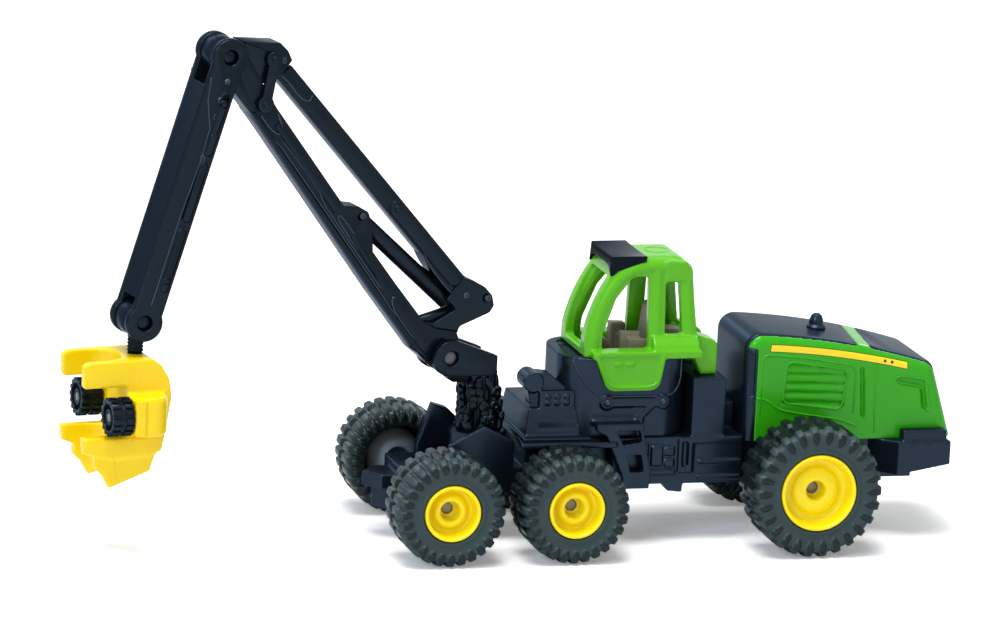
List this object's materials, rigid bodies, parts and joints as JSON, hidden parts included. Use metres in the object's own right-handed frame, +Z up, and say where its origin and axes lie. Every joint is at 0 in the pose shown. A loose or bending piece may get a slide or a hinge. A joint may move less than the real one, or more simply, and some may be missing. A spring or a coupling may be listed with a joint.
{
  "type": "toy forestry harvester",
  "caption": "Small toy forestry harvester on rubber tyres with an open cab, a folding crane and a turning harvester head that grips a small log.",
  "frame": {"origin": "on the ground under the middle of the whole toy's outline, with the crane as it stands in the picture", "axes": "+X towards the engine hood's end, +Y towards the far side, +Z up"},
  "size_m": [0.1222, 0.0368, 0.0689],
  "materials": {
    "tyre": "satin soft rubber with moulded lugs",
    "hub_yellow": "glossy moulded plastic",
    "steel": "bare steel pin",
    "body_dark": "satin enamel on die-cast metal",
    "crane_black": "satin moulded plastic",
    "gloss_black": "glossy moulded plastic",
    "cab_green": "glossy moulded plastic, slightly translucent",
    "hood_green": "glossy enamel",
    "interior_brown": "moulded plastic",
    "head_yellow": "glossy moulded plastic",
    "roller_black": "satin moulded plastic"
  },
  "bodies": {
    "root": {"front_frame": "body_dark", "deck": "body_dark", "tool_box": "body_dark", "cab_base": "body_dark", "cab": "cab_green", "cab_interior": "interior_brown", "roof_visor": "gloss_black", "rear_carrier": "body_dark", "step_near": "body_dark", "step_far": "body_dark", "hood": "hood_green", "hood_lid": "body_dark", "beacon": "body_dark", "bumper": "body_dark"},
    "axle_front": {"axle_front": "steel", "tyre_front_near": "tyre", "hub_front_near": "hub_yellow", "tyre_front_far": "tyre", "hub_front_far": "hub_yellow"},
    "axle_mid": {"axle_mid": "steel", "tyre_mid_near": "tyre", "hub_mid_near": "hub_yellow", "tyre_mid_far": "tyre", "hub_mid_far": "hub_yellow"},
    "axle_rear": {"axle_rear": "steel", "tyre_rear_near": "tyre", "hub_rear_near": "hub_yellow", "tyre_rear_far": "tyre", "hub_rear_far": "hub_yellow"},
    "crane_base": {"crane_pillar": "crane_black", "luff_pin": "steel"},
    "boom": {"boom_main": "crane_black", "boom_top": "crane_black", "boom_bracket": "crane_black", "boom_rams": "crane_black", "boom_links": "crane_black"},
    "stick": {"stick": "crane_black", "elbow_pin": "crane_black", "tip_pin": "crane_black"},
    "rotator": {"rotator": "crane_black"},
    "head": {"head_frame": "head_yellow", "roller_pins": "steel"},
    "roller_near": {"feed_roller_near": "roller_black"},
    "roller_far": {"feed_roller_far": "roller_black"}
  },
  "joints": [
    {"name": "front_axle_roll", "type": "hinge", "parent": "root", "child": "axle_front", "pos_m": [-0.01105, 0, 0.0074], "axis": [0, 1, 0], "continuous": true},
    {"name": "mid_axle_roll", "type": "hinge", "parent": "root", "child": "axle_mid", "pos_m": [0.00585, 0, 0.0074], "axis": [0, 1, 0], "continuous": true},
    {"name": "rear_axle_roll", "type": "hinge", "parent": "root", "child": "axle_rear", "pos_m": [0.03915, 0, 0.009], "axis": [0, 1, 0], "continuous": true},
    {"name": "crane_slew", "type": "hinge", "parent": "root", "child": "crane_base", "pos_m": [-0.00335, 0, 0.0144], "axis": [0, 0, 1], "range_deg": [-99, 81]},
    {"name": "boom_luff", "type": "hinge", "parent": "crane_base", "child": "boom", "pos_m": [-0.00889, -0.00088, 0.0249], "axis": [-0.1564, 0.9877, 0], "range_deg": [-14, 22]},
    {"name": "stick_fold", "type": "hinge", "parent": "boom", "child": "stick", "pos_m": [-0.04138, -0.00602, 0.0665], "axis": [0.1564, -0.9877, 0], "range_deg": [-60, 22]},
    {"name": "rotator_swing", "type": "hinge", "parent": "stick", "child": "rotator", "pos_m": [-0.05195, -0.0077, 0.032], "axis": [-0.1564, 0.9877, 0], "range_deg": [-40, 30]},
    {"name": "head_turn", "type": "hinge", "parent": "rotator", "child": "head", "pos_m": [-0.05195, -0.0077, 0.0275], "axis": [0, 0, 1], "continuous": true},
    {"name": "feed_roller_near_spin", "type": "hinge", "parent": "head", "child": "roller_near", "pos_m": [-0.05528, -0.01415, 0.0205], "axis": [-0.9877, -0.1564, 0], "continuous": true},
    {"name": "feed_roller_far_spin", "type": "hinge", "parent": "head", "child": "roller_far", "pos_m": [-0.05711, -0.00259, 0.0205], "axis": [-0.9877, -0.1564, 0], "continuous": true}
  ]
}
